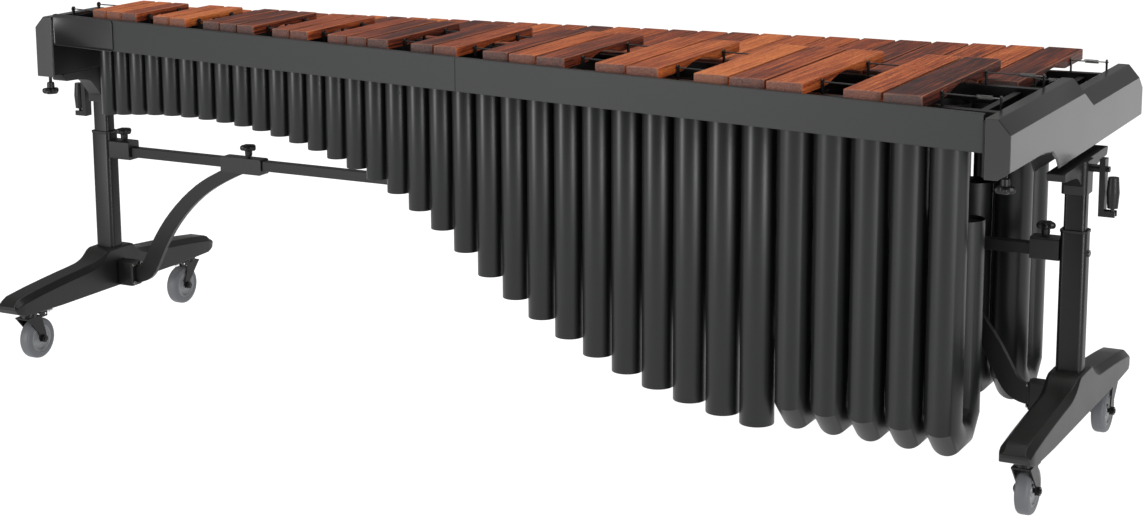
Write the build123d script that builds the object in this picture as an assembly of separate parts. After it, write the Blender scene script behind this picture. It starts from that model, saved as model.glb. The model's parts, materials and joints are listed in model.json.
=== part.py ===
from build123d import *
import math
import os

# Five-octave concert marimba, C2 to C7: wooden bars on cords, tuned tubes, rolling stand.
# Millimetres. +X is the low-pitched end, -Y the player's raised row, +Z up, Z = 0 the floor.
# The origin is under the middle of the instrument.

# ---- playing surface ----
RAISED_TOP = 861.0
LOWER_TOP = 820.0
LOWEST_GAP_X = 1045.0
GAPS = 35
NATURALS = 36
PITCH_KNOTS = [
    (1, 85.7),
    (6, 82.3),
    (11, 72.7),
    (16, 63.0),
    (21, 55.5),
    (26, 53.0),
    (31, 52.4),
    (36, 43.0),
]
NATURAL_SPACE = 6.0
RAISED_SPACE = 8.5
BAR_THICK_LOW = 24.0
BAR_THICK_HIGH = 20.0
NODE_SHARE = 0.224
ARCH_SHARE = 0.30
BAR_EDGE = 1.8
CORD_DROP = 11.0
CORD_R = 1.5
CORD_HOLE_R = 2.6
CORD_RISE = 1.0

# Straight lines seen from above, as y at x = 0 and slope.
RAISED_FRONT = (-338.0, -0.134)
RAISED_REAR = (10.5, 0.011)
LOWER_FRONT = (-12.0, 0.011)
LOWER_REAR = (353.0, 0.138)
FASCIA_LINE = (-360.0, -0.130)
FRONT_TUBE_LINE = (-146.0, -0.032)
REAR_TUBE_LINE = (170.5, 0.0745)

# ---- frame ----
RIGHT_INNER = 1220.0
RIGHT_EDGE = 1245.0
RIGHT_OUTER = 1270.0
LEFT_INNER = -1223.0
LEFT_EDGE = -1247.0
LEFT_OUTER = -1272.0
PANEL_WALL = 5.0
PLATE = 4.0
RAIL_WIDE = 20.0
RAIL_TALL = 45.0
RAIL_WALL = 2.5
RAIL_BELOW_TOP = 36.0
FASCIA_TOP = 844.0
FASCIA_BOTTOM = 770.0
FASCIA_SKIN = 3.0
FASCIA_LIP = 9.0
SEAM = 0.6

# ---- tubes ----
TUBE_SHARE = 0.92
TUBE_WALL = 1.5
FRONT_TUBE_TOP = 800.0
REAR_TUBE_TOP = 775.0
FRONT_BENT = 5
REAR_BENT = 4
LEG_APART = 118.0
MITRE_RUN = 34.0
ARCH_KNOTS = [
    (0, 49),
    (3, 57),
    (6, 66),
    (10, 138),
    (14, 270),
    (17, 408),
    (20, 507),
    (25, 584),
    (30, 607),
    (36, 588),
]
REAR_RAISE = 42.0
STRIP_TALL = 23.0
STRIP_THICK = 2.0
STRIP_END = 14.0
STRIP_GAP = 0.6
SOUND_SPEED = 345000.0
PLUG_THICK = 3.0
PLUG_DEPTH = 12.0
SHORTEST_LEG = 60.0

# ---- stand ----
STAND_Y = 10.0
LEFT_X = -1250.0
RIGHT_X = 1256.0
OUTER_COLUMN = (56.0, 42.0, 11.0)
INNER_COLUMN = (46.0, 32.0, 8.0)
COLUMN_WALL = 3.0
OUTER_COLUMN_TOP = 515.0
INNER_COLUMN_TOP = 664.0
INNER_COLUMN_BOTTOM = 300.0
HUB_TOP = 222.0
POCKET_FLOOR = 180.0
FOOT_HALF = 395.0
FOOT_WIDE = 72.0
FOOT_BOTTOM = 122.0
FOOT_CHAMFER = 9.0
FOOT_CHAMFER_FROM = 140.0
BEAM = 24.0
BEAM_Z = 472.0
BRACE_THICK = 14.0
CRANK_Z = 652.0
SCREW_R = 8.0
RUNNING_GAP = 0.06

# ---- casters ----
CASTER_OUT = 318.0
WHEEL_R = 50.0
WHEEL_WIDE = 30.0
TRAIL = 28.0
AXLE_R = 5.0
STEM_R = 8.0
FORK_GAP = 2.5
FORK_PLATE = 3.0


def line_y(line, x):
    """y of one of the plan lines at x."""
    return line[0] + line[1] * x


def between(line_a, line_b, share):
    """The plan line a given share of the way from one line to another."""
    return tuple(a + (b - a) * share for a, b in zip(line_a, line_b))


def smooth(knots, value):
    """Cubic curve through the knots, with each knot's slope taken from its neighbours."""
    last = len(knots) - 1
    i = max(j for j in range(last) if j == 0 or knots[j][0] <= value)

    def slope(j):
        a = knots[max(j - 1, 0)]
        b = knots[min(j + 1, last)]
        return (b[1] - a[1]) / (b[0] - a[0])

    (x0, y0), (x1, y1) = knots[i], knots[i + 1]
    span = x1 - x0
    t = (value - x0) / span
    rise = y0 * (2 * t**3 - 3 * t**2 + 1) + y1 * (3 * t**2 - 2 * t**3)
    return rise + span * (slope(i) * (t**3 - 2 * t**2 + t) + slope(i + 1) * (t**3 - t**2))


def gap_x(number):
    """x of the gap between two neighbouring naturals; gap 1 is between the lowest two."""
    if number < 1:
        return LOWEST_GAP_X + pitch(1)
    return LOWEST_GAP_X - sum(pitch(n + 0.5) for n in range(1, number))


def pitch(number):
    """Width of one natural with its share of the gap, at a gap number."""
    return smooth(PITCH_KNOTS, number)


def natural_x(index):
    """x of a natural bar; index 0 is the lowest."""
    return (gap_x(index) + gap_x(index + 1)) / 2


def has_raised_bar(number):
    """True where the keyboard pattern has an accidental over this gap."""
    return (number - 1) % 7 in (0, 1, 3, 4, 5)


def frequency(semitone):
    """Hertz of a note counted in semitones above C2."""
    return 65.406 * 2 ** (semitone / 12)


def natural_semitone(index):
    octave, step = divmod(index, 7)
    return 12 * octave + (0, 2, 4, 5, 7, 9, 11)[step]


def air_length(semitone, radius):
    """Length of a stopped tube that sounds the note, less its end correction."""
    return SOUND_SPEED / (4 * frequency(semitone)) - 0.61 * radius


def box(x, y, z):
    """Box from (low, high) pairs."""
    size = [b - a for a, b in (x, y, z)]
    middle = [(a + b) / 2 for a, b in (x, y, z)]
    return Pos(*middle) * Box(*size)


def rod(start, end, radius):
    """Round bar between two points."""
    run = Vector(*end) - Vector(*start)
    return Solid.make_cylinder(radius, run.length, Plane(origin=start, z_dir=run))


def post(x, y, low, high, radius):
    return rod((x, y, low), (x, y, high), radius)


def rounded_column(x, size, low, high, inset=0.0):
    """Upright bar of rounded rectangular section at the stand's centre line."""
    wide, deep, corner = size
    outline = RectangleRounded(wide - 2 * inset, deep - 2 * inset, max(corner - inset, 1))
    return extrude(Pos(x, STAND_Y, low) * outline, high - low)


def side_profile(points, low_x, high_x):
    """Polygon of (y, z) points, extruded along X."""
    face = Plane(origin=(low_x, 0, 0), x_dir=(0, 1, 0), z_dir=(1, 0, 0)) * make_face(
        Polyline(*points, close=True)
    )
    return extrude(face, high_x - low_x)


def slanted(line, low_x, high_x, offset, thick, low, high):
    """Upright strip that follows a plan line, moved across by offset."""
    corners = [
        (low_x, line_y(line, low_x) + offset),
        (high_x, line_y(line, high_x) + offset),
        (high_x, line_y(line, high_x) + offset + thick),
        (low_x, line_y(line, low_x) + offset + thick),
    ]
    return extrude(Pos(0, 0, low) * make_face(Polyline(*corners, close=True)), high - low)


def save(name, *shapes):
    """Writes one node; each shape stays a solid of its own."""
    solids = [s for shape in shapes for s in shape.solids()]
    export_step(Compound(children=solids), f"parts/{name}.step")


# ---- bars and cords ----
def cord_lines(front, rear):
    return between(front, rear, NODE_SHARE), between(front, rear, 1 - NODE_SHARE)


def cord_height(top):
    return top - CORD_DROP


def thickness(x):
    share = (x - natural_x(NATURALS - 1)) / (natural_x(0) - natural_x(NATURALS - 1))
    return BAR_THICK_HIGH + (BAR_THICK_LOW - BAR_THICK_HIGH) * share


def bar(x, wide, front, rear, top):
    """Wooden bar with a hollowed underside and two holes for the cords."""
    low_y, high_y = line_y(front, x), line_y(rear, x)
    long = high_y - low_y
    thick = thickness(x)
    bottom = top - thick
    left_y, right_y = low_y + ARCH_SHARE * long, high_y - ARCH_SHARE * long
    depth = thick * (0.62 if x > 0 else 0.45)
    corners = [(low_y, bottom), (low_y, top), (high_y, top), (high_y, bottom)]
    outline = Polyline((left_y, bottom), *corners, (right_y, bottom))
    crown = ((low_y + high_y) / 2, bottom + depth)
    hollow = ThreePointArc((right_y, bottom), crown, (left_y, bottom))
    plane = Plane(origin=(x - wide / 2, 0, 0), x_dir=(0, 1, 0), z_dir=(1, 0, 0))
    solid = extrude(plane * make_face([*outline.edges(), *hollow.edges()]), wide)
    solid = fillet(solid.edges().filter_by(Axis.Y).group_by(Axis.Z)[-1], BAR_EDGE)
    height = cord_height(top) - CORD_RISE
    for line in cord_lines(front, rear):
        ends = [(x + s * wide, line_y(line, x + s * wide), height) for s in (-1, 1)]
        solid -= rod(*ends, CORD_HOLE_R)
    return solid


def make_bars():
    naturals = [
        bar(natural_x(i), gap_x(i) - gap_x(i + 1) - NATURAL_SPACE, LOWER_FRONT, LOWER_REAR, LOWER_TOP)
        for i in range(NATURALS)
    ]
    raised = [
        bar(gap_x(n), pitch(n) - RAISED_SPACE, RAISED_FRONT, RAISED_REAR, RAISED_TOP)
        for n in range(1, GAPS)
        if has_raised_bar(n)
    ]
    save("natural_bars_low", *naturals[:14])
    save("natural_bars_middle", *naturals[14:25])
    save("natural_bars_high", *naturals[25:])
    save("accidental_bars_low", *raised[:13])
    save("accidental_bars_high", *raised[13:])


ROWS = [
    (cord_lines(RAISED_FRONT, RAISED_REAR), RAISED_TOP),
    (cord_lines(LOWER_FRONT, LOWER_REAR), LOWER_TOP),
]
CORD_RIGHT = 1160.0
CORD_LEFT = -1196.0
SPRING_LONG = 30.0
SPRING_R = 4.5
SPRING_WALL = 1.2
HOOK_R = 1.4
HOOK_PAST = 4.0
JOINER_HALF = 60.0
JOINER_THICK = 3.0
ANCHOR_X = 1208.0
POST_THICK = 3.0
POST_HALF_WIDE = 4.0
POST_HEAD_R = 6.0
EYE_GAP = 0.7


def raised_post_places():
    """x of the posts: one on each side of every accidental, and one for each end's hooks."""
    places = [ANCHOR_X]
    for n in range(1, GAPS):
        if not has_raised_bar(n):
            continue
        for x in (gap_x(n) + pitch(n) / 2, gap_x(n) - pitch(n) / 2):
            if not places or abs(places[-1] - x) > 6:
                places.append(x)
    return [*places, -ANCHOR_X]


def lower_post_places():
    return [ANCHOR_X, *[gap_x(n) for n in range(0, GAPS + 2)], -ANCHOR_X]


def cord_post(x, line, top):
    """Flat post with a rounded head and an eye that the cord runs through."""
    y = line_y(line, x)
    eye = cord_height(top)
    foot = top - RAIL_BELOW_TOP
    head = Pos(x, y, eye) * (Rot(0, 90, 0) * Cylinder(POST_HEAD_R, POST_THICK))
    half = POST_THICK / 2
    stem = box((x - half, x + half), (y - POST_HALF_WIDE, y + POST_HALF_WIDE), (foot, eye))
    ends = [(x + way * POST_THICK, y, eye) for way in (-1, 1)]
    return stem + head - rod(*ends, CORD_R + EYE_GAP)


def rail(line, top, low_x, high_x):
    """Box-section bar rail."""
    high = top - RAIL_BELOW_TOP
    low = high - RAIL_TALL
    solid = slanted(line, low_x, high_x, -RAIL_WIDE / 2, RAIL_WIDE, low, high)
    hollow_wide = RAIL_WIDE - 2 * RAIL_WALL
    run = (line, low_x - 1, high_x + 1)
    return solid - slanted(*run, -hollow_wide / 2, hollow_wide, low + RAIL_WALL, high - RAIL_WALL)


def make_rails_and_cords():
    names = ["accidental", "natural"]
    places = [raised_post_places(), lower_post_places()]
    cords = []
    springs = []
    joiners = []
    for name, (lines, top), xs in zip(names, ROWS, places):
        rails = []
        for line in lines:
            rails.append(rail(line, top, LEFT_INNER + PLATE, -SEAM / 2))
            rails.append(rail(line, top, SEAM / 2, RIGHT_INNER - PLATE))
            z = cord_height(top)
            right = (CORD_RIGHT, line_y(line, CORD_RIGHT), z)
            left = (CORD_LEFT, line_y(line, CORD_LEFT), z)
            cords.append(rod(left, right, CORD_R))
            coil_end = CORD_RIGHT + SPRING_LONG
            sleeve = (coil_end, line_y(line, coil_end), z)
            springs.append(rod(right, sleeve, SPRING_R) - rod(right, sleeve, SPRING_R - SPRING_WALL))
            reach = ANCHOR_X + HOOK_PAST
            for start, stop in ((coil_end, reach), (CORD_LEFT, -reach)):
                ends = [(x, line_y(line, x), z) for x in (start, stop)]
                springs.append(rod(*ends, HOOK_R))
            low = top - RAIL_BELOW_TOP - RAIL_TALL
            joiners.append(slanted(line, -JOINER_HALF, JOINER_HALF, -8, 16, low - JOINER_THICK, low))
        save(f"{name}_rails", *rails)
        save(f"{name}_cord_posts", *[cord_post(x, line, top) for line in lines for x in xs])
    save("suspension_cords", *cords)
    save("cord_springs", *springs)
    return joiners


# ---- end panels, fascia and frame plates ----
def right_outline(drop, lift):
    """(y, z) outline of the low end: a high front part, a step down and an arched underside."""
    top = 837 - drop
    low_top = 800 - drop
    return [
        (-521, 721 + lift),
        (-521, top),
        (-8, top),
        (66, low_top),
        (455, low_top),
        (487, low_top - 26),
        (487, 668 + lift),
        (-176, 668 + lift),
        (-196, 690 + lift),
        (-232, 710 + lift),
        (-300, 718 + lift),
    ]


def left_outline(drop, lift):
    """(y, z) outline of the narrow high end."""
    top = 837 - drop
    low_top = 800 - drop
    return [
        (-205, 689 + lift),
        (-205, top),
        (-2, top),
        (50, low_top),
        (195, low_top),
        (218, low_top - 26),
        (218, 689 + lift),
    ]


def upright(points, x):
    """Face of (y, z) points standing at x."""
    plane = Plane(origin=(x, 0, 0), x_dir=(0, 1, 0), z_dir=(1, 0, 0))
    return plane * make_face(Polyline(*points, close=True))


def end_panel(outline, inner_x, edge_x, outer_x, drop, lift):
    """Hollow end cover: straight sides, then a chamfer to a smaller outer face."""
    way = 1 if outer_x > inner_x else -1

    def block(shrink, start):
        inner = upright(outline(0, 0), edge_x - way * shrink)
        outer = upright(outline(drop, lift), outer_x - way * shrink)
        run = way * abs(edge_x - way * shrink - start)
        straight = extrude(upright(outline(0, 0), start), run, dir=(1, 0, 0))
        return straight + loft([inner, outer])

    whole = block(0, inner_x)
    middle = whole.bounding_box().center()
    size = whole.bounding_box().size
    scale_y = 1 - 2 * PANEL_WALL / size.Y
    scale_z = 1 - 2 * PANEL_WALL / size.Z
    core = block(PANEL_WALL, inner_x - way)
    core = Pos(*middle) * scale(Pos(*-middle) * core, by=(1, scale_y, scale_z))
    return whole - core


def make_end_panels():
    save("right_end_panel", end_panel(right_outline, RIGHT_INNER, RIGHT_EDGE, RIGHT_OUTER, 29, 17))
    save("left_end_panel", end_panel(left_outline, LEFT_INNER, LEFT_EDGE, LEFT_OUTER, 27, 0))


def channel(low_x, high_x):
    """Fascia half: a sheet with a lip turned back along its top and bottom."""
    run = (FASCIA_LINE, low_x, high_x)
    skin = slanted(*run, 0, FASCIA_SKIN, FASCIA_BOTTOM, FASCIA_TOP)
    top = slanted(*run, FASCIA_SKIN, FASCIA_LIP, FASCIA_TOP - FASCIA_SKIN, FASCIA_TOP)
    low = slanted(*run, FASCIA_SKIN, FASCIA_LIP, FASCIA_BOTTOM, FASCIA_BOTTOM + FASCIA_SKIN)
    return skin + top + low


LABEL_RIGHT = -1017.0
LABEL_PROUD = 2.5


def make_fascia():
    high_half = channel(LEFT_INNER + PLATE, -SEAM / 2)
    low_half = channel(SEAM / 2, RIGHT_INNER - PLATE)
    save("front_fascia", high_half, low_half)
    start = LEFT_INNER + PLATE + 1
    low, high = FASCIA_BOTTOM - 1, FASCIA_TOP + 1
    save("blank_name_plate", slanted(FASCIA_LINE, start, LABEL_RIGHT, -LABEL_PROUD, LABEL_PROUD, low, high))


def tie(x, wide, low_line, high_line, low, high, offset_low, offset_high):
    """Cross bar from one plan line to another."""
    ends = (line_y(low_line, x) + offset_low, line_y(high_line, x) + offset_high)
    return box((x, x + wide), ends, (low, high))


TIES = ((1150.0, 16.0), (1192.0, 12.0), (-1212.0, 14.0))
TIE_TALL = 22.0
TIE_GAP = 0.5


def make_frame_plates(joiners):
    right = extrude(upright(right_outline(6, 4), RIGHT_INNER - PLATE), PLATE, dir=(1, 0, 0))
    left = extrude(upright(left_outline(6, 4), LEFT_INNER), PLATE, dir=(1, 0, 0))
    save("frame_end_plates", right, left)
    near = RAIL_WIDE / 2 + TIE_GAP
    bars = []
    for x, wide in TIES:
        slant = 0.2 * wide
        for (front, rear), top in ROWS:
            high = top - RAIL_BELOW_TOP - 8
            bars.append(tie(x, wide, front, rear, high - TIE_TALL, high, near + slant, -near))
        raised_front = ROWS[0][0][0]
        fascia_gap = FASCIA_SKIN + TIE_GAP + 0.2
        bars.append(tie(x, wide, FASCIA_LINE, raised_front, 782, 800, fascia_gap, -near - slant))
    save("cross_members", *bars, *joiners)


# ---- tubes ----
def plug(x, y, z, radius):
    return post(x, y, z, z + PLUG_THICK, radius - TUBE_WALL - 0.15)


def straight_tube(x, y, low, high, radius):
    return post(x, y, low, high, radius) - post(x, y, low - 1, high + 1, radius - TUBE_WALL)


def bend_height(low, radius):
    """Height at which a bent tube's first mitre starts, on its centre line."""
    return low + MITRE_RUN + radius


def bent_tube(x, y, low, high, radius, way, second_top):
    """Tube with a mitred bend at the bottom and a second leg that comes part of the way back up."""
    bend_z = bend_height(low, radius)

    route = [
        (x, y, high),
        (x, y, bend_z),
        (x, y + way * MITRE_RUN, bend_z - MITRE_RUN),
        (x, y + way * (LEG_APART - MITRE_RUN), bend_z - MITRE_RUN),
        (x, y + way * LEG_APART, bend_z),
        (x, y + way * LEG_APART, second_top),
    ]
    wall = Pos(x, y, high) * (Circle(radius) - Circle(radius - TUBE_WALL))
    return sweep(wall, path=Polyline(*route), transition=Transition.RIGHT)


def front_low(number):
    return smooth(ARCH_KNOTS, number)


def rear_low(index):
    return smooth(ARCH_KNOTS, index + 0.5) + REAR_RAISE


def make_tube(x, y, low, high, radius, way, length, bent):
    """A tube and the plug that stops its air column."""
    if bent:
        bend_z = bend_height(low, radius)
        around = high - bend_z + 2 * math.hypot(MITRE_RUN, MITRE_RUN) + LEG_APART - 2 * MITRE_RUN
        second_top = bend_z + max(length - around, SHORTEST_LEG) + PLUG_DEPTH
        solid = bent_tube(x, y, low, high, radius, way, second_top)
        return solid, plug(x, y + way * LEG_APART, second_top - PLUG_DEPTH, radius)
    depth = min(length, high - low - PLUG_DEPTH)
    return straight_tube(x, y, low, high, radius), plug(x, y, high - depth, radius)


def side_strips(places, line, height):
    """Two strips that hold a bank of tubes, each passing just outside every tube."""
    strips = []
    for way in (-1, 1):
        reach = places[0][2] + STRIP_GAP
        near = [(RIGHT_INNER - PLATE, line_y(line, RIGHT_INNER) + way * reach)]
        near += [(x, y + way * (r + STRIP_GAP)) for x, y, r in places]
        near.append((LEFT_INNER + PLATE, line_y(line, LEFT_INNER) + way * STRIP_END))
        far = [(x, y + way * STRIP_THICK) for x, y in reversed(near)]
        outline = make_face(Polyline(*near, *far, close=True))
        strips.append(extrude(Pos(0, 0, height) * outline, STRIP_TALL))
    return strips


def make_resonators():
    plugs = []
    front = []
    front_places = []
    for n in range(1, GAPS + 1):
        x = gap_x(n)
        y = line_y(FRONT_TUBE_LINE, x)
        radius = TUBE_SHARE * pitch(n) / 2
        length = air_length(natural_semitone(n - 1) + 1, radius)
        tube, stop = make_tube(x, y, front_low(n), FRONT_TUBE_TOP, radius, 1, length, n <= FRONT_BENT)
        front.append(tube)
        plugs.append(stop)
        front_places.append((x, y, radius))
    rear = []
    rear_places = []
    for i in range(NATURALS):
        x = natural_x(i)
        y = line_y(REAR_TUBE_LINE, x)
        radius = TUBE_SHARE * pitch(max(i, 0.5)) / 2
        length = air_length(natural_semitone(i), radius)
        tube, stop = make_tube(x, y, rear_low(i), REAR_TUBE_TOP, radius, -1, length, i < REAR_BENT)
        rear.append(tube)
        plugs.append(stop)
        rear_places.append((x, y, radius))
    save("accidental_resonators_bent", *front[:FRONT_BENT])
    save("accidental_resonators_straight", *front[FRONT_BENT:])
    save("natural_resonators_bent", *rear[:REAR_BENT])
    save("natural_resonators_straight", *rear[REAR_BENT:])
    save("resonator_plugs", *plugs)
    strips = side_strips(front_places, FRONT_TUBE_LINE, FRONT_TUBE_TOP - 29)
    strips += side_strips(rear_places, REAR_TUBE_LINE, REAR_TUBE_TOP - 62)
    save("resonator_strips", *strips)


# ---- stand ----
def half_foot_profile():
    """(y from the column, z) of one arm, from the middle of the top to the middle of the base."""
    return [
        (0, HUB_TOP),
        (46, HUB_TOP),
        (62, 209),
        (88, 200),
        (130, 194),
        (250, 184),
        (368, 171),
        (390, 158),
        (FOOT_HALF, 148),
        (388, 134),
        (366, 126),
        (250, FOOT_BOTTOM),
        (0, FOOT_BOTTOM),
    ]


def foot(x):
    """Cast foot with two arms, bevelled along the top, and a socket for the column."""
    right = half_foot_profile()
    left = [(-y, z) for y, z in reversed(right[1:-1])]
    points = [(y + STAND_Y, z) for y, z in right + left]
    solid = side_profile(points, x - FOOT_WIDE / 2, x + FOOT_WIDE / 2)
    edges = solid.edges().filter_by(Axis.X, reverse=True)
    solid = chamfer([e for e in edges if e.center().Z > FOOT_CHAMFER_FROM], FOOT_CHAMFER)
    solid -= rounded_column(x, OUTER_COLUMN, POCKET_FLOOR, HUB_TOP + 1)
    for way in (-1, 1):
        solid -= post(x, STAND_Y + way * CASTER_OUT, FOOT_BOTTOM - 1, 158, STEM_R + RUNNING_GAP)
    return solid


def outer_column(x):
    shell = rounded_column(x, OUTER_COLUMN, POCKET_FLOOR, OUTER_COLUMN_TOP)
    return shell - rounded_column(x, OUTER_COLUMN, POCKET_FLOOR - 1, OUTER_COLUMN_TOP + 1, COLUMN_WALL)


def column_bush(x):
    """Plastic guide ring on top of the outer column."""
    flange = rounded_column(x, OUTER_COLUMN, OUTER_COLUMN_TOP, OUTER_COLUMN_TOP + 6, -1.5)
    return flange - rounded_column(x, INNER_COLUMN, OUTER_COLUMN_TOP - 1, OUTER_COLUMN_TOP + 7, -0.4)


def nut_pillar(x):
    """Tube inside the column that carries the nut of the lifting screw."""
    pillar = post(x, STAND_Y, POCKET_FLOOR, 420, 11.5) - post(x, STAND_Y, POCKET_FLOOR - 1, 421, SCREW_R + 1)
    nut = post(x, STAND_Y, 420, 440, 11.5) - post(x, STAND_Y, 419, 441, SCREW_R + RUNNING_GAP)
    return [pillar, nut]


SOCKET_LONG = 62.0
KNOB_STUD_R = 4.0


def sides():
    """(name, column x, +1 or -1 towards the middle)."""
    return [("left", LEFT_X, 1), ("right", RIGHT_X, -1)]


def beam_solid(low_x, high_x, wall=0.0):
    half = BEAM / 2 - wall
    return box((low_x, high_x), (STAND_Y - half, STAND_Y + half), (BEAM_Z - half, BEAM_Z + half))


def beam_socket(x, way):
    """Clamp block on the side of the column that takes the end of the beam."""
    near = x + way * OUTER_COLUMN[0] / 2
    far = near + way * SOCKET_LONG
    block = box(sorted((near, far)), (STAND_Y - 21, STAND_Y + 21), (BEAM_Z - 19, BEAM_Z + 28))
    block = fillet(block.edges().filter_by(Axis.X), 5)
    block -= beam_solid(*sorted((near + way * 6, far + way * 5)))
    stud_x = near + way * 34
    return block - post(stud_x, STAND_Y, BEAM_Z, BEAM_Z + 40, KNOB_STUD_R + RUNNING_GAP)


# Middle line of a brace: reach from the column's middle, height and width.
BRACE_LINE = [
    (64, 156, 42),
    (92, 156, 43),
    (117, 167, 44),
    (137, 194, 43),
    (164, 244, 41),
    (203, 302, 38),
    (254, 358, 35),
    (304, 399, 33),
    (356, 430, 31),
    (424, 462, 29),
]
CLAMP_FROM = 368.0
CLAMP_TO = 488.0
CLAMP_KNOB = 442.0
CLAMP_TOP = BEAM_Z + 16.0
CLAMP_BOTTOM = BEAM_Z - 23.0


def brace(x, way):
    """Flat bar that runs out from the foot, bends up and curves over to the beam, tapering."""
    points = [Vector(x + way * reach, height) for reach, height, _ in BRACE_LINE]
    runs = [b - a for a, b in zip(points, points[1:])]
    turns = [runs[0], *[a + b for a, b in zip(runs, runs[1:])], runs[-1]]
    edges = []
    for side in (-1, 1):
        shifts = [Vector(-run.Y, run.X).normalized() * side / 2 for run in turns]
        edge = [p + n * wide for p, n, (_, _, wide) in zip(points, shifts, BRACE_LINE)]
        edges.append([(p.X, p.Y) for p in edge])
    low, high = Spline(*edges[0]), Spline(*edges[1])
    caps = [Line(low @ 0, high @ 0), Line(low @ 1, high @ 1)]
    band = make_face([low, high, *caps])
    solid = Pos(0, STAND_Y, 0) * (Rot(90, 0, 0) * extrude(band, BRACE_THICK / 2, both=True))
    under_beam = BEAM_Z - BEAM / 2 - 0.5
    reach = sorted((x, x + way * 600))
    return solid - box(reach, (STAND_Y - 20, STAND_Y + 20), (under_beam, under_beam + 60))


def brace_mounts(x, way, bar_solid):
    """Lug bolted to the foot and clamp round the beam, each with a slot for the brace."""
    near = x + way * FOOT_WIDE / 2
    lug = box(sorted((near, near + way * 48)), (STAND_Y - 20, STAND_Y + 20), (FOOT_BOTTOM + 4, 186))
    lug = fillet(lug.edges().filter_by(Axis.Z), 6)
    ends = sorted((x + way * CLAMP_FROM, x + way * CLAMP_TO))
    clamp = box(ends, (STAND_Y - 17, STAND_Y + 17), (CLAMP_BOTTOM, CLAMP_TOP))
    clamp = fillet(clamp.edges().filter_by(Axis.Y), 5)
    clamp -= beam_solid(ends[0] - 1, ends[1] + 1)
    stud_x = x + way * CLAMP_KNOB
    clamp -= post(stud_x, STAND_Y, BEAM_Z, BEAM_Z + 40, KNOB_STUD_R + RUNNING_GAP)
    return [lug - bar_solid, clamp - bar_solid]


KNOB_R = 14.0
KNOB_TALL = 15.0
KNOB_LOBES = 5
KNOB_NECK = 14.0
LONG_STUD = 32.0
SHORT_STUD = 22.0


def star_knob(x, y, z, way, stud):
    """Lobed clamping knob and its stud; way is +1 for a knob above what it clamps."""
    head = post(x, y, z, z + way * KNOB_TALL, KNOB_R)
    for i in range(KNOB_LOBES):
        turn = math.radians(360 / KNOB_LOBES * i + 18)
        lobe = (x + KNOB_R * math.cos(turn), y + KNOB_R * math.sin(turn))
        head += post(*lobe, z, z + way * KNOB_TALL, KNOB_R / 2)
    head += post(x, y, z - way * KNOB_NECK, z, 9)
    return [head, post(x, y, z - way * stud, z - way * KNOB_NECK, KNOB_STUD_R)]


def make_stand():
    save("left_foot", foot(LEFT_X))
    save("right_foot", foot(RIGHT_X))
    save("outer_columns", outer_column(LEFT_X), outer_column(RIGHT_X))
    save("column_bushes", column_bush(LEFT_X), column_bush(RIGHT_X))
    save("lift_nut_pillars", *nut_pillar(LEFT_X), *nut_pillar(RIGHT_X))
    save("beam_sockets", *[beam_socket(x, way) for _, x, way in sides()])
    inner = OUTER_COLUMN[0] / 2 + 6.5
    low_x, high_x = LEFT_X + inner, RIGHT_X - inner
    save("cross_beam", beam_solid(low_x, high_x) - beam_solid(low_x - 1, high_x + 1, 2.0))
    braces = [brace(x, way) for _, x, way in sides()]
    save("beam_braces", *braces)
    mounts = [brace_mounts(x, way, solid) for (_, x, way), solid in zip(sides(), braces)]
    save("brace_mounts", *[s for pair in mounts for s in pair])
    for name, x, way in sides():
        stud_x = x + way * (OUTER_COLUMN[0] / 2 + 34)
        clamp_x = x + way * CLAMP_KNOB
        seat = BEAM_Z + BEAM / 2 + 0.3
        save(f"{name}_socket_knob", *star_knob(stud_x, STAND_Y, seat + LONG_STUD, 1, LONG_STUD))
        save(f"{name}_brace_knob", *star_knob(clamp_x, STAND_Y, seat + SHORT_STUD, 1, SHORT_STUD))


def bolt(centre, way, radius):
    """Socket-head bolt along X, its head outwards."""
    x, y, z = centre
    head = rod((x, y, z), (x + way * radius * 1.2, y, z), radius * 1.7)
    socket = rod((x + way * radius * 0.5, y, z), (x + way * radius * 2, y, z), radius * 0.8)
    return head - socket


def make_stand_bolts():
    bolts = []
    for _, x, way in sides():
        face = x + way * (FOOT_WIDE / 2 + 48)
        for z in (134, 180):
            bolts.append(bolt((face, STAND_Y - 13.5, z), way, 3))
            bolts.append(bolt((face, STAND_Y + 13.5, z), way, 3))
        outer = x - way * OUTER_COLUMN[0] / 2
        bolts.append(bolt((outer, STAND_Y, BEAM_Z), -way, 4))
    save("stand_bolts", *bolts)


# ---- lifting frame ----
HOUSING_HALF = 29.0
HOUSING_LOW = 598.0
HOUSING_WALL = 4.0
ARM_HALF = 19.0


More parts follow.
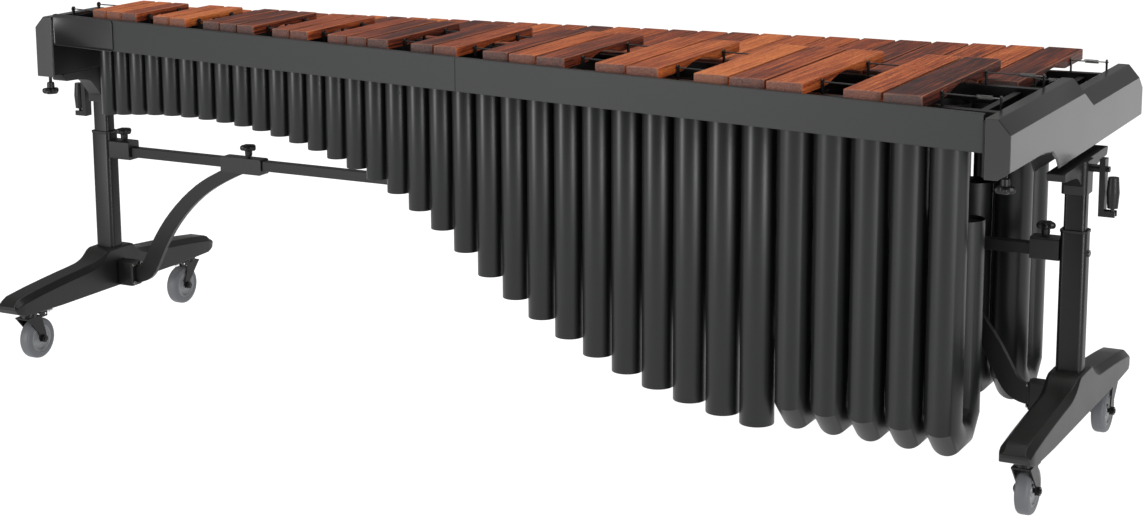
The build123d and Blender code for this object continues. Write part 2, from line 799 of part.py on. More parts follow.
def lift_bracket(x, under):
    """Arched casting under the end panel, with the crank's gear housing in its middle."""
    arch = [
        (-168, under),
        (-162, under - 18),
        (-120, under - 20),
        (-70, under - 26),
        (-HOUSING_HALF, HOUSING_LOW + 18),
        (HOUSING_HALF, HOUSING_LOW + 18),
        (70, under - 26),
        (120, under - 20),
        (162, under - 18),
        (168, under),
    ]
    plane = Plane(origin=(x - ARM_HALF, STAND_Y, 0), x_dir=(0, 1, 0), z_dir=(1, 0, 0))
    radii = [3, 8, 60, 40, 6, 6, 40, 60, 8, 3]
    outline = FilletPolyline(*arch, radius=radii, close=True)
    arms = extrude(plane * make_face(outline), 2 * ARM_HALF)
    half = INNER_COLUMN[0] / 2 + HOUSING_WALL
    sides_y = (STAND_Y - HOUSING_HALF, STAND_Y + HOUSING_HALF)
    housing = box((x - half, x + half), sides_y, (HOUSING_LOW, under))
    housing = fillet(housing.edges().filter_by(Axis.Z), 10)
    solid = arms + housing - rounded_column(x, INNER_COLUMN, HOUSING_LOW - 1, INNER_COLUMN_TOP)
    way = 1 if x > 0 else -1
    return solid - rod((x, STAND_Y, CRANK_Z), (x + way * 60, STAND_Y, CRANK_Z), SCREW_R + RUNNING_GAP)


def inner_column(x):
    shell = rounded_column(x, INNER_COLUMN, INNER_COLUMN_BOTTOM, INNER_COLUMN_TOP)
    shell -= rounded_column(x, INNER_COLUMN, INNER_COLUMN_BOTTOM - 1, INNER_COLUMN_TOP + 1, COLUMN_WALL)
    way = 1 if x > 0 else -1
    return shell - rod((x, STAND_Y, CRANK_Z), (x + way * 60, STAND_Y, CRANK_Z), SCREW_R + 0.4)


def cone(start, end, low_r, high_r):
    """Cone frustum between two points on a straight axis."""
    run = Vector(*end) - Vector(*start)
    return Solid.make_cone(low_r, high_r, run.length, Plane(origin=start, z_dir=run))


BEVEL_NEAR = 6.0
BEVEL_FAR = 11.5
BEVEL_GAP = 0.4
ARM_NEAR = 48.0
ARM_THICK = 12.0
ARM_WIDE = 26.0
ARM_LONG = 98.0
ARM_ABOVE = 22.0
FORK_LONG = 22.0
PIN_OUT = 75.0
GRIP_R = 13.5
GRIP_END_R = 11.0
GRIP_LONG = 64.0


def lift_screw(x):
    """Lifting screw with the bevel wheel that the crank turns."""
    wheel = cone(
        (x, STAND_Y, CRANK_Z - BEVEL_FAR),
        (x, STAND_Y, CRANK_Z - BEVEL_NEAR),
        BEVEL_FAR - BEVEL_GAP,
        BEVEL_NEAR - BEVEL_GAP,
    )
    return wheel + post(x, STAND_Y, 272, CRANK_Z - BEVEL_FAR, SCREW_R)


def crank(x):
    """Crank shaft with its bevel wheel, flat arm and the fork that holds the grip."""
    way = 1 if x > 0 else -1
    centre = (STAND_Y, CRANK_Z)
    wheel = cone(
        (x + way * BEVEL_FAR, *centre),
        (x + way * BEVEL_NEAR, *centre),
        BEVEL_FAR - BEVEL_GAP,
        BEVEL_NEAR - BEVEL_GAP,
    )
    shaft = rod((x + way * BEVEL_FAR, *centre), (x + way * ARM_NEAR, *centre), SCREW_R)
    inner, outer = x + way * ARM_NEAR, x + way * (ARM_NEAR + ARM_THICK)
    outline = [
        (STAND_Y - ARM_WIDE / 2, CRANK_Z + ARM_ABOVE),
        (STAND_Y - ARM_WIDE / 2 + 2, CRANK_Z - ARM_LONG),
        (STAND_Y + ARM_WIDE / 2 - 2, CRANK_Z - ARM_LONG),
        (STAND_Y + ARM_WIDE / 2, CRANK_Z + ARM_ABOVE),
    ]
    arm = side_profile(outline, *sorted((inner, outer)))
    nut = rod((outer, *centre), (outer + way * 7, *centre), 6)
    far = outer + way * FORK_LONG
    foot_z = (CRANK_Z - ARM_LONG, CRANK_Z - ARM_LONG + 12)
    ears = box(sorted((outer, far)), (STAND_Y - 11, STAND_Y + 11), foot_z)
    ears -= box(sorted((outer, far + way)), (STAND_Y - 6.3, STAND_Y + 6.3), (500, 700))
    return wheel + shaft + arm + nut + ears


def crank_grip(x):
    """Folding grip on its link; the pin turns in the crank's fork."""
    way = 1 if x > 0 else -1
    pin_x = x + way * PIN_OUT
    pin_z = CRANK_Z - ARM_LONG + 6
    link = rod((pin_x, STAND_Y - 6, pin_z), (pin_x, STAND_Y + 6, pin_z), 5.5)
    link += post(pin_x, STAND_Y, pin_z, pin_z + 16, 4)
    low, middle, high = (pin_z + rise for rise in (12, 44, 12 + GRIP_LONG))
    grip = cone((pin_x, STAND_Y, low), (pin_x, STAND_Y, middle), GRIP_END_R, GRIP_R)
    grip += cone((pin_x, STAND_Y, middle), (pin_x, STAND_Y, high), GRIP_R, GRIP_END_R)
    return link + grip


PANEL_KNOBS = {"left": (-1247.0, -188.0, 689.0), "right": (1232.0, -420.0, 721.0)}


def make_lift():
    save("inner_columns", inner_column(LEFT_X), inner_column(RIGHT_X))
    save("lift_brackets", lift_bracket(LEFT_X, 689.0), lift_bracket(RIGHT_X, 668.0))
    for name, x, _ in sides():
        save(f"{name}_lift_screw", lift_screw(x))
        save(f"{name}_crank", crank(x))
        save(f"{name}_crank_grip", crank_grip(x))
        knob_x, knob_y, under = PANEL_KNOBS[name]
        save(f"{name}_panel_knob", *star_knob(knob_x, knob_y, under - 30, -1, LONG_STUD))


# ---- casters ----
def caster(x, y, way):
    """Fork with stem and axle, wheel with tyre, and brake pedal; way is the trailing side."""
    wheel_y = y + way * TRAIL
    half = WHEEL_WIDE / 2
    plate_z = (106.0, 110.0)
    crown = box((x - half - FORK_GAP - FORK_PLATE, x + half + FORK_GAP + FORK_PLATE), (y - 24, y + 24), plate_z)
    crown += post(x, y, 110, 119.5, 21)
    crown += post(x, y, 119, 156, STEM_R)
    for side in (-1, 1):
        inner = x + side * (half + FORK_GAP)
        cheek = [(y - 24, 108), (y + 24, 108), (wheel_y + way * 11, 62), (wheel_y + way * 11, 44)]
        cheek += [(wheel_y - way * 11, 44), (wheel_y - way * 11, 62)]
        if way < 0:
            cheek = [(y + 24, 108), (y - 24, 108), *cheek[2:]]
        crown += side_profile(cheek, *sorted((inner, inner + side * FORK_PLATE)))
    reach = half + FORK_GAP + FORK_PLATE + 8
    axle = rod((x - reach, wheel_y, WHEEL_R), (x + reach, wheel_y, WHEEL_R), AXLE_R)
    for side in (-1, 1):
        start = x + side * (half + FORK_GAP + FORK_PLATE)
        axle += rod((start, wheel_y, WHEEL_R), (start + side * 6, wheel_y, WHEEL_R), 9)
    crown -= rod((x - reach, wheel_y, WHEEL_R), (x + reach, wheel_y, WHEEL_R), AXLE_R)
    pin_y = y + way * 40
    for side in (-1, 1):
        inner = x + side * (half + FORK_GAP)
        ear = sorted((inner, inner + side * FORK_PLATE))
        crown += box(ear, sorted((y + way * 20, pin_y + way * 6)), (104, 116))
    crown -= rod((x - 30, pin_y, 111), (x + 30, pin_y, 111), 2.5 + RUNNING_GAP)
    hub = rod((x - half, wheel_y, WHEEL_R), (x + half, wheel_y, WHEEL_R), 34)
    for side in (-1, 1):
        face = x + side * half
        dish = rod((face, wheel_y, WHEEL_R), (face - side * 4, wheel_y, WHEEL_R), 29)
        hub -= dish - rod((face, wheel_y, WHEEL_R), (face - side * 4, wheel_y, WHEEL_R), 13)
    bore = rod((x - 40, wheel_y, WHEEL_R), (x + 40, wheel_y, WHEEL_R), AXLE_R + RUNNING_GAP)
    tread = rod((x - half, wheel_y, WHEEL_R), (x + half, wheel_y, WHEEL_R), WHEEL_R)
    tread = fillet(tread.edges().filter_by(GeomType.CIRCLE), 5)
    tyre = tread - rod((x - half - 1, wheel_y, WHEEL_R), (x + half + 1, wheel_y, WHEEL_R), 34)
    pedal = box((x - 13, x + 13), sorted((pin_y - way * 6, pin_y + way * 26)), (108.5, 113.5))
    pedal += box((x - 17, x + 17), sorted((pin_y + way * 18, pin_y + way * 34)), (109.5, 113.5))
    pedal += rod((x - 20, pin_y, 111), (x + 20, pin_y, 111), 2.5)
    return [crown, axle], [hub - bore, tyre], [pedal]


def caster_places():
    return [
        (f"{end}_{place}", x, STAND_Y + way * CASTER_OUT, -way)
        for end, x, _ in sides()
        for place, way in (("front", -1), ("rear", 1))
    ]


def make_casters():
    for name, x, y, way in caster_places():
        fork, wheel, pedal = caster(x, y, way)
        save(f"{name}_caster_fork", *fork)
        save(f"{name}_caster_wheel", *wheel)
        save(f"{name}_caster_brake", *pedal)


def make_frame_screws():
    """Screw heads on the front face of the front rail, in every space of the raised row."""
    line, top = ROWS[0][0][0], RAISED_TOP
    screws = []
    for n in range(1, GAPS):
        if has_raised_bar(n):
            continue
        for shift in (-8, 8):
            x = gap_x(n) + shift
            y = line_y(line, x) - RAIL_WIDE / 2 - 0.4
            z = top - RAIL_BELOW_TOP - 9
            screws.append(rod((x, y, z), (x, y - 2.5, z), 3.2))
    save("rail_screws", *screws)


os.makedirs("parts", exist_ok=True)
make_bars()
make_frame_plates(make_rails_and_cords())
make_end_panels()
make_fascia()
make_resonators()
make_stand()
make_stand_bolts()
make_lift()
make_casters()
make_frame_screws()
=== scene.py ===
import json
import math

import bmesh
import bpy
import numpy as np
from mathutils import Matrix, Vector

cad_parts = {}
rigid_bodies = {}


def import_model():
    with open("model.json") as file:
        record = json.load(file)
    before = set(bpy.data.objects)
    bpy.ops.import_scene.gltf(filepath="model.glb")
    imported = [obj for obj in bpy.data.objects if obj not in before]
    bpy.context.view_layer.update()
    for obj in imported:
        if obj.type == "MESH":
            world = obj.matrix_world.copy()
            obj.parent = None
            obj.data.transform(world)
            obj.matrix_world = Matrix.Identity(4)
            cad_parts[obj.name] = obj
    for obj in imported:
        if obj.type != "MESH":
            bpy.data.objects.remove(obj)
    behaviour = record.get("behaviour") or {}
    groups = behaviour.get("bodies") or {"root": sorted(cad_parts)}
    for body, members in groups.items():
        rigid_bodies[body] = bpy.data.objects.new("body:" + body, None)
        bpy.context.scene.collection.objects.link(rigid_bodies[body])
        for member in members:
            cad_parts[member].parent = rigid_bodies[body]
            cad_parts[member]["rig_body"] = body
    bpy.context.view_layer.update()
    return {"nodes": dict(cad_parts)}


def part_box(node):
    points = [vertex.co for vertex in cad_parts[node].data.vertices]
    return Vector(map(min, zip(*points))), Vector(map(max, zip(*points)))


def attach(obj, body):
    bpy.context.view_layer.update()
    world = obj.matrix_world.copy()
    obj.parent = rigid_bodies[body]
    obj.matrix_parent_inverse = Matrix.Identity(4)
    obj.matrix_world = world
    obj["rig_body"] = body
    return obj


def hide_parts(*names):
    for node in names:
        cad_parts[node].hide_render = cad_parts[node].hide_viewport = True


# Concert marimba: finished bars, tubes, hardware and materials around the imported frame.
# Metres. +X is the low end, -Y the player's raised row, +Z up, the floor at Z = 0.

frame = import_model()
MM = 0.001

# ---- bars ----
ARCH_SHARE = 0.30
LOW_HOLLOW = 0.62
HIGH_HOLLOW = 0.45
BAR_ROUND = 2.2 * MM
BAR_EASE = 1.1 * MM
BAR_TONES = {"natural": 34, "accidental": 855}

# ---- tubes ----
TUBE_WALL = 1.5 * MM
LEG_APART = 118 * MM
MITRE_RUN = 34 * MM
TUBE_SIDES = 48

# ---- stand ----
OUTER_COLUMN = (28 * MM, 21 * MM, 11 * MM)
INNER_COLUMN = (23 * MM, 16 * MM, 8 * MM)
COLUMN_WALL = 3 * MM
COLUMN_EDGE = 1.2 * MM
FOOT_HALF_WIDE = 36 * MM
FOOT_INNER_STATIONS = [0, 20, 40, 46, 52, 58, 66, 76, 90]
FOOT_OUTER_STATIONS = [110, 140, 180, 230, 300, 366, 378, 388, 395]
FOOT_STATIONS = np.array(FOOT_INNER_STATIONS + FOOT_OUTER_STATIONS) * MM
NOSE_FROM = 366 * MM
NOSE_LONG = 29 * MM
NOSE_DRAW = 7 * MM


# ---- colours, linear ----
DUST_COLOUR = (0.30, 0.29, 0.27, 1.0)
# Lighter colour painted along the bars' top and end edges: a painted highlight where light catches the
# rounded edge.
EDGE_HIGHLIGHT_COLOUR = (0.46, 0.20, 0.115, 1.0)
HEARTWOOD = [
    (0.32, (0.014, 0.004, 0.004)),
    (0.45, (0.064, 0.012, 0.007)),
    (0.58, (0.210, 0.037, 0.011)),
    (0.72, (0.400, 0.084, 0.018)),
    (0.90, (0.620, 0.180, 0.045)),
]
CUT_ENDS = [(0.35, (0.036, 0.024, 0.022)), (0.65, (0.150, 0.112, 0.106))]
CORD_BLACKS = [(0.2, (0.006, 0.006, 0.006)), (0.9, (0.05, 0.05, 0.05))]


# ---- working out shapes ----
class Shape:
    """Points and faces of one piece, gathered from computed grids, with values kept at the points."""

    def __init__(self):
        self.points = []
        self.faces = []
        self.values = []
        self.count = 0

    def grid(self, points, closed_rings=True, closed_run=False, start_cap=False, end_cap=False, **values):
        """Adds rings of points, an array (rings, points in a ring, 3), joined into quads."""
        rings, sides = points.shape[:2]
        index = self.count + np.arange(rings * sides).reshape(rings, sides)
        low = index if closed_run else index[:-1]
        high = np.roll(index, -1, axis=0) if closed_run else index[1:]
        if closed_rings:
            quads = [low, np.roll(low, -1, axis=1), np.roll(high, -1, axis=1), high]
        else:
            quads = [low[:, :-1], low[:, 1:], high[:, 1:], high[:, :-1]]
        self.faces += np.stack(quads, axis=-1).reshape(-1, 4).tolist()
        if start_cap:
            self.faces.append(index[0, ::-1].tolist())
        if end_cap:
            self.faces.append(index[-1].tolist())
        self.points.append(points.reshape(-1, 3))
        spread = {name: np.broadcast_to(v, (rings, sides, *np.shape(v)[2:])) for name, v in values.items()}
        self.values.append(spread)
        self.count += rings * sides

    def mesh(self, name):
        """The gathered mesh, welded, with its values as point attributes."""
        mesh = bpy.data.meshes.new(name)
        mesh.from_pydata(np.concatenate(self.points).tolist(), [], self.faces)
        for key in self.values[0]:
            data = np.concatenate([np.reshape(v[key], (-1, *np.shape(v[key])[2:])) for v in self.values])
            kind, slot = ("FLOAT_VECTOR", "vector") if data.ndim == 2 else ("FLOAT", "value")
            mesh.attributes.new(key, kind, "POINT").data.foreach_set(slot, data.astype(np.float32).ravel())
        weld(mesh)
        return mesh


def weld(mesh, flat_angle=None):
    """Merges doubled points, joins flat neighbours when asked, and turns every face outwards."""
    work = bmesh.new()
    work.from_mesh(mesh)
    bmesh.ops.remove_doubles(work, verts=work.verts, dist=1e-6 if flat_angle is None else 1e-5)
    if flat_angle is not None:
        bmesh.ops.dissolve_limit(work, angle_limit=flat_angle, verts=work.verts, edges=work.edges)
    bmesh.ops.recalc_face_normals(work, faces=work.faces)
    work.to_mesh(mesh)
    work.free()


def place(name, mesh, material, body, nodes, sharp=32.0):
    """Makes a piece of a mesh: smooth up to an angle, painted, riding on its body in place of CAD nodes."""
    piece = bpy.data.objects.new(name, mesh)
    bpy.context.scene.collection.objects.link(piece)
    mesh.shade_smooth()
    mesh.set_sharp_from_angle(angle=math.radians(sharp))
    mesh.materials.clear()
    mesh.materials.append(material)
    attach(piece, body)
    if nodes:
        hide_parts(*nodes)
    return piece


def body_of(node):
    return frame["nodes"][node]["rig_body"]


def break_edges(piece, width, segments, sharp):
    """Bevels every edge sharper than an angle in degrees, by a width in millimetres."""
    bevel = piece.modifiers.new("broken_edges", "BEVEL")
    bevel.width = width * MM
    bevel.segments = segments
    bevel.limit_method = "ANGLE"
    bevel.angle_limit = math.radians(sharp)
    bevel.harden_normals = True


def softened(node, material, width, sharp=34.0):
    """A welded copy of a CAD node with its sharp edges broken by a small bevel."""
    mesh = frame["nodes"][node].data.copy()
    weld(mesh, flat_angle=math.radians(0.6))
    piece = place(f"{node}_finished", mesh, material, body_of(node), [node], sharp)
    break_edges(piece, width, 2, sharp)


def points_of(node):
    """The points of a CAD node's mesh, as rows of (x, y, z)."""
    mesh = frame["nodes"][node].data
    points = np.empty(len(mesh.vertices) * 3, np.float32)
    mesh.vertices.foreach_get("co", points)
    return points.reshape(-1, 3)


def solids(node):
    """Lowest and highest corner of each separate solid of a CAD node, from the low end to the high end.
    Points that share triangles take the smallest label among them until no label changes."""
    mesh = frame["nodes"][node].data
    points = points_of(node)
    corners = np.empty(len(mesh.loops), np.int32)
    mesh.loops.foreach_get("vertex_index", corners)
    _, same = np.unique(np.round(points * 1e5).astype(np.int64), axis=0, return_inverse=True)
    same = same.ravel()
    triangles = same[corners].reshape(-1, 3)
    label = np.arange(same.max() + 1)
    while True:
        fresh = label.copy()
        np.minimum.at(fresh, triangles.ravel(), np.repeat(label[triangles].min(axis=1), 3))
        fresh = fresh[fresh]
        if (fresh == label).all():
            break
        label = fresh
    owner = label[same]
    found = [points[owner == k] for k in np.unique(owner)]
    lows = np.array([p.min(axis=0) for p in found], float)
    highs = np.array([p.max(axis=0) for p in found], float)
    order = np.argsort(-lows[:, 0] - highs[:, 0], kind="stable")
    return lows[order], highs[order]


def rounded_ring(half_x, half_y, radius, corner_steps=5):
    """Outline of a rounded rectangle about (0, 0), counter-clockwise: four quarter circles joined."""
    turns = np.linspace(0, math.pi / 2, corner_steps)
    ring = []
    for k, (sx, sy) in enumerate(((1, 1), (-1, 1), (-1, -1), (1, -1))):
        angle = turns + k * math.pi / 2
        x = sx * (half_x - radius) + radius * np.cos(angle)
        y = sy * (half_y - radius) + radius * np.sin(angle)
        ring.append(np.stack([x, y], -1))
    return np.concatenate(ring)


def circle(sides):
    """Points (cos a, sin a) at even steps round a unit circle."""
    angle = np.linspace(0, 2 * math.pi, sides, endpoint=False)
    return np.stack([np.cos(angle), np.sin(angle)], -1)


def revolved(profile, centre, axis="z", sides=48):
    """Rings of a turned shape: each (radius, distance along) of the profile goes round the axis."""
    profile = np.asarray(profile, float)
    unit = circle(sides)
    flat = profile[:, None, :1] * unit[None]
    along = np.broadcast_to(profile[:, None, 1:], (*flat.shape[:2], 1))
    order = {"z": [flat[..., :1], flat[..., 1:], along], "x": [along, flat[..., :1], flat[..., 1:]]}[axis]
    return np.concatenate(order, -1) + np.asarray(centre, float)


def carried(route, profile, side):
    """Profile (across, up) carried along a flat route; side is the across direction, joints are mitred."""
    route = np.asarray(route, float)
    steps = np.diff(route, axis=0)
    steps /= np.linalg.norm(steps, axis=1, keepdims=True)
    before = np.vstack([steps[:1], steps])
    after = np.vstack([steps, steps[-1:]])
    middle = before + after
    middle /= np.linalg.norm(middle, axis=1, keepdims=True)
    stretch = 1 / np.sum(middle * before, axis=1)
    side = np.asarray(side, float)
    up = np.cross(middle, side) * stretch[:, None]
    return route[:, None] + profile[None, :, :1] * side + profile[None, :, 1:] * up[:, None]


# ---- shader groups ----
def add_node(tree, kind, inputs=None, **settings):
    """A shader node with its settings; each input is a value or another node's output."""
    made = tree.nodes.new(kind)
    for key, value in settings.items():
        setattr(made, key, value)
    for key, value in (inputs or {}).items():
        if isinstance(value, bpy.types.NodeSocket):
            tree.links.new(value, made.inputs[key])
        else:
            made.inputs[key].default_value = value
    return made


def vector_maths(tree, operation, inputs):
    return add_node(tree, "ShaderNodeVectorMath", inputs, operation=operation).outputs[0]


def maths(tree, operation, first, second=0.5, third=0.5, clamp=False):
    made = add_node(tree, "ShaderNodeMath", {0: first, 1: second, 2: third}, operation=operation)
    made.use_clamp = clamp
    return made.outputs[0]


def blend(tree, share, first, second, mode="MIX"):
    """First colour towards the second by a share."""
    inputs = {0: share, 6: first, 7: second}
    return add_node(tree, "ShaderNodeMix", inputs, data_type="RGBA", blend_type=mode).outputs[2]


def noise(tree, vector, scale, detail=3.0, roughness=0.55, distortion=0.0):
    """Noise of one size, or of a size for each axis when scale is three numbers."""
    if isinstance(scale, tuple):
        vector = vector_maths(tree, "MULTIPLY", {0: vector, 1: scale})
        scale = 1.0
    inputs = {"Vector": vector, "Scale": scale, "Detail": detail}
    inputs |= {"Roughness": roughness, "Distortion": distortion}
    return add_node(tree, "ShaderNodeTexNoise", inputs).outputs["Fac"]


def ramp(tree, value, stops):
    """Colours, or greys given as one number, at positions from 0 to 1."""
    made = add_node(tree, "ShaderNodeValToRGB", {"Fac": value})
    band = made.color_ramp.elements
    while len(band) < len(stops):
        band.new(0.5)
    for element, (position, colour) in zip(band, stops):
        element.position = position
        element.color = (*colour, 1.0) if not isinstance(colour, float) else (colour, colour, colour, 1.0)
    return made.outputs["Color"]


def new_group(name, inputs, outputs):
    """An empty shader group with named sockets; returns the tree, its input node and its output node."""
    tree = bpy.data.node_groups.new(name, "ShaderNodeTree")
    for way, sockets in (("INPUT", inputs), ("OUTPUT", outputs)):
        for key, kind in sockets.items():
            tree.interface.new_socket(name=key, in_out=way, socket_type=f"NodeSocket{kind}")
    return tree, tree.nodes.new("NodeGroupInput"), tree.nodes.new("NodeGroupOutput")


SURFACE = {"Color": "Color", "Roughness": "Float", "Height": "Float"}


def coat_texture():
    """Sprayed coating: slow mottling, fine orange peel, and dust that settles on upward faces."""
    inputs = {"Color": "Color", "Roughness": "Float", "Mottle": "Float"}
    inputs |= {"Peel Size": "Float", "Dust": "Float"}
    tree, given, result = new_group("coat_texture", inputs, SURFACE)
    place_in = add_node(tree, "ShaderNodeTexCoord").outputs["Object"]
    slow = noise(tree, place_in, 7.0, 4.0)
    spots = noise(tree, place_in, 160.0, 2.0)
    peel = noise(tree, place_in, given.outputs["Peel Size"], 2.0, 0.5)
    swing = maths(tree, "MULTIPLY", maths(tree, "SUBTRACT", slow, 0.5), given.outputs["Mottle"])
    light = maths(tree, "ADD", swing, 1.0)
    grey = add_node(tree, "ShaderNodeCombineColor", {0: light, 1: light, 2: light}).outputs[0]
    toned = blend(tree, 1.0, given.outputs["Color"], grey, "MULTIPLY")
    normal = add_node(tree, "ShaderNodeNewGeometry").outputs["Normal"]
    facing = add_node(tree, "ShaderNodeSeparateXYZ", {0: normal})
    upward = maths(tree, "POWER", maths(tree, "MAXIMUM", facing.outputs["Z"], 0.0), 3.0)
    dusty = maths(tree, "MULTIPLY", upward, spots)
    patch = maths(tree, "MULTIPLY", dusty, given.outputs["Dust"], clamp=True)
    tree.links.new(blend(tree, patch, toned, DUST_COLOUR), result.inputs["Color"])
    rough = maths(tree, "ADD", given.outputs["Roughness"], maths(tree, "MULTIPLY", swing, 0.25))
    rough = maths(tree, "ADD", rough, maths(tree, "MULTIPLY", patch, 0.4), clamp=True)
    tree.links.new(rough, result.inputs["Roughness"])
    tree.links.new(peel, result.inputs["Height"])
    return tree


def wood_figure():
    """Lengthwise stripes, fine streaks and pores of an oiled hardwood, on bar-local grain coordinates, with
    a painted highlight along the edges.
    """
    inputs = {"Grain": "Vector", "Tone": "Float", "End": "Float", "Edge Highlight": "Float"}
    tree, given, result = new_group("wood_figure", inputs, SURFACE)
    grain = given.outputs["Grain"]
    bend = noise(tree, grain, (10.0, 3.5, 10.0), 2.0)
    bent = vector_maths(tree, "SCALE", {0: (0.012, 0.0, 0.006), 3: bend})
    grain_bent = vector_maths(tree, "ADD", {0: grain, 1: bent})
    stripes = noise(tree, grain_bent, (210.0, 4.0, 210.0), 4.0, 0.66, 0.3)
    streaks = noise(tree, grain_bent, (620.0, 11.0, 620.0), 3.0, 0.65)
    patches = noise(tree, grain, (16.0, 5.0, 16.0), 3.0)
    pores = noise(tree, grain_bent, (1500.0, 60.0, 1500.0), 1.0, 0.5)
    mixed = maths(tree, "MULTIPLY", streaks, 0.50)
    mixed = maths(tree, "MULTIPLY_ADD", stripes, 0.95, mixed)
    mixed = maths(tree, "MULTIPLY_ADD", patches, 0.26, mixed)
    tone = maths(tree, "SUBTRACT", given.outputs["Tone"], 0.92)
    body = ramp(tree, maths(tree, "MULTIPLY_ADD", tone, 0.52, mixed), HEARTWOOD)
    dash = ramp(tree, pores, [(0.36, 0.30), (0.48, 1.0)])
    pored = blend(tree, 0.85, body, dash, "MULTIPLY")
    speck = noise(tree, grain, (900.0, 90.0, 900.0), 2.0)
    cut = ramp(tree, speck, CUT_ENDS)
    cut = blend(tree, 0.22, cut, pored)
    ended = blend(tree, maths(tree, "MULTIPLY", given.outputs["End"], 0.95), pored, cut)
    # Painted highlight: the edge mark, broken up by the streaks, lightens the colour along the bars'
    # rounded edges.
    highlight_share = maths(tree, "MULTIPLY", given.outputs["Edge Highlight"], maths(tree, "MULTIPLY", streaks, 0.75))
    tree.links.new(blend(tree, highlight_share, ended, EDGE_HIGHLIGHT_COLOUR), result.inputs["Color"])
    rough = maths(tree, "MULTIPLY_ADD", streaks, 0.26, 0.36)
    rough = maths(tree, "ADD", rough, maths(tree, "MULTIPLY", given.outputs["End"], 0.22))
    tree.links.new(rough, result.inputs["Roughness"])
    depth = add_node(tree, "ShaderNodeRGBToBW", {0: dash}).outputs[0]
    tree.links.new(maths(tree, "MULTIPLY_ADD", streaks, 0.35, depth), result.inputs["Height"])
    return tree


COAT = coat_texture()
WOOD = wood_figure()


# ---- materials ----
def new_material(name):
    """A material with its shader; returns the material, its tree and the shader."""
    material = bpy.data.materials.new(name)
    material.use_nodes = True
    tree = material.node_tree
    return material, tree, tree.nodes["Principled BSDF"]


def relief(tree, shader, height, depth):
    """Bump from a height, as deep as depth in metres."""
    inputs = {"Height": height, "Distance": depth, "Strength": 1.0}
    bump = add_node(tree, "ShaderNodeBump", inputs)
    tree.links.new(bump.outputs[0], shader.inputs["Normal"])


def finish_with(tree, shader, group, depth, inputs):
    """Places a group and feeds its colour, roughness and relief to the shader."""
    made = tree.nodes.new("ShaderNodeGroup")
    made.node_tree = group
    for key, value in inputs.items():
        if isinstance(value, bpy.types.NodeSocket):
            tree.links.new(value, made.inputs[key])
        else:
            made.inputs[key].default_value = value
    tree.links.new(made.outputs["Color"], shader.inputs["Base Color"])
    tree.links.new(made.outputs["Roughness"], shader.inputs["Roughness"])
    relief(tree, shader, made.outputs["Height"], depth)


def coated(name, colour, roughness, mottle, peel, dust, depth, metal=0.0, specular=0.5):
    """A painted, moulded or plated finish; peel is the orange peel's bumps per metre, depth in metres."""
    material, tree, shader = new_material(name)
    inputs = {"Color": (*colour, 1.0), "Roughness": roughness, "Mottle": mottle}
    inputs |= {"Peel Size": peel, "Dust": dust}
    finish_with(tree, shader, COAT, depth, inputs)
    shader.inputs["Metallic"].default_value = metal
    shader.inputs["Specular IOR Level"].default_value = specular
    return material


def attribute(tree, name, output="Fac"):
    """A value kept at the points of a piece."""
    return add_node(tree, "ShaderNodeAttribute", attribute_name=name).outputs[output]


def rosewood():
    """Oiled bar wood, led by each bar's own grain coordinates and tone."""
    material, tree, shader = new_material("oiled_rosewood")
    inputs = {"Grain": attribute(tree, "grain", "Vector"), "Tone": attribute(tree, "tone")}
    inputs |= {"End": attribute(tree, "end_grain"), "Edge Highlight": attribute(tree, "edge")}
    finish_with(tree, shader, WOOD, 0.00012, inputs)
    shader.inputs["Specular IOR Level"].default_value = 0.22
    return material


def braided_cord():
    """Black cord whose strands cross as two slanted waves."""
    material, tree, shader = new_material("braided_cord")
    place_in = add_node(tree, "ShaderNodeTexCoord").outputs["Object"]
    waves = []
    for tilt in (-1.0, 1.0):
        slant = {"Vector": place_in, "Rotation": (0.0, 0.0, tilt * 0.8)}
        turned = add_node(tree, "ShaderNodeMapping", slant).outputs[0]
        wave = add_node(tree, "ShaderNodeTexWave", {"Vector": turned, "Scale": 260.0})
        waves.append(wave.outputs["Fac"])
    weave = maths(tree, "MAXIMUM", waves[0], waves[1])
    tree.links.new(ramp(tree, weave, CORD_BLACKS), shader.inputs["Base Color"])
    relief(tree, shader, weave, 0.0003)
    shader.inputs["Roughness"].default_value = 0.8
    return material


ROSEWOOD = rosewood()
TUBE_PAINT = coated(
    "satin_tube_paint", (0.0072, 0.0078, 0.0078), 0.38, 0.30, 900.0, 0.03, 0.00002, specular=0.34
)
FASCIA_PAINT = coated(
    "fascia_paint", (0.014, 0.015, 0.015), 0.50, 0.20, 1300.0, 0.03, 0.00004, specular=0.30
)
PANEL_PAINT = coated(
    "panel_paint", (0.009, 0.0084, 0.0080), 0.24, 0.22, 1300.0, 0.01, 0.00002, specular=0.60
)
FRAME_PAINT = coated(
    "frame_paint", (0.0040, 0.0040, 0.0040), 0.38, 0.40, 1100.0, 0.04, 0.00004, specular=0.26
)
CASTING_PAINT = coated(
    "casting_paint", (0.0062, 0.0060, 0.0058), 0.40, 0.45, 700.0, 0.05, 0.00008, specular=0.30
)
MOULDED_BLACK = coated(
    "moulded_black", (0.0045, 0.0045, 0.0045), 0.42, 0.30, 1600.0, 0.03, 0.00003, specular=0.28
)
PLATE_GLOSS = coated(
    "plate_gloss", (0.003, 0.003, 0.003), 0.22, 0.20, 900.0, 0.02, 0.00001, specular=0.35
)
TYRE_RUBBER = coated("grey_tyre_rubber", (0.085, 0.088, 0.096), 0.55, 0.35, 500.0, 0.25, 0.00008)
HUB_PLASTIC = coated("grey_hub_plastic", (0.170, 0.174, 0.182), 0.40, 0.20, 900.0, 0.15, 0.00003)
ZINC_STEEL = coated("zinc_steel", (0.16, 0.16, 0.155), 0.34, 0.30, 600.0, 0.02, 0.00002, metal=1.0)
CHROME_STEEL = coated(
    "chrome_steel", (0.75, 0.75, 0.76), 0.14, 0.20, 300.0, 0.02, 0.00001, metal=1.0
)
BRAID = braided_cord()


